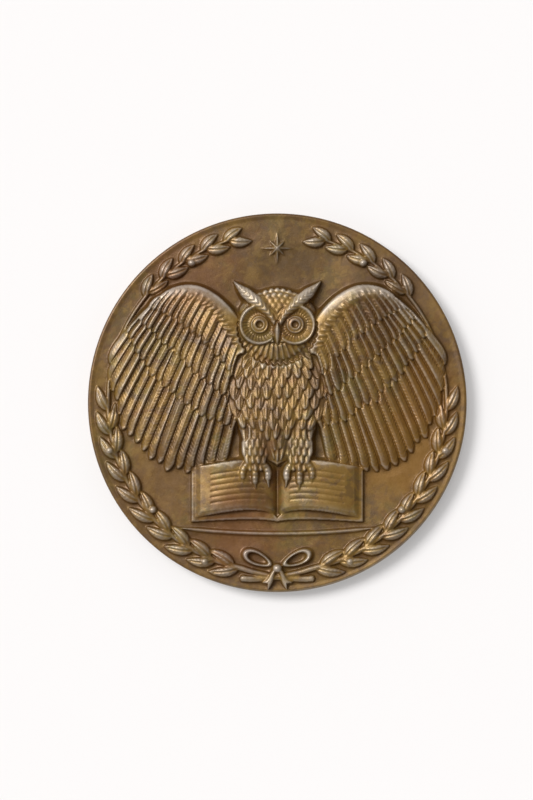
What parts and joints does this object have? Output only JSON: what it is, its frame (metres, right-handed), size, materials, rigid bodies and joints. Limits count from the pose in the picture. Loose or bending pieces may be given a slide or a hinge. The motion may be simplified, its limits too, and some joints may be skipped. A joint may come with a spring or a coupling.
{
  "type": "art medal",
  "caption": "Round cast bronze art medal with high relief on its face and a plain back, a solid disc that lies flat for display.",
  "frame": {"origin": "centre of the flat ring on the back that the medal rests on", "axes": "+Z out of the face with the relief, +Y towards the top of the design, +X to the right of the design"},
  "size_m": [0.08, 0.08, 0.0084],
  "materials": {
    "bronze": "cast bronze with a brown patina, rubbed lighter on the high points"
  },
  "bodies": {
    "root": {"medal": "bronze"}
  },
  "joints": []
}
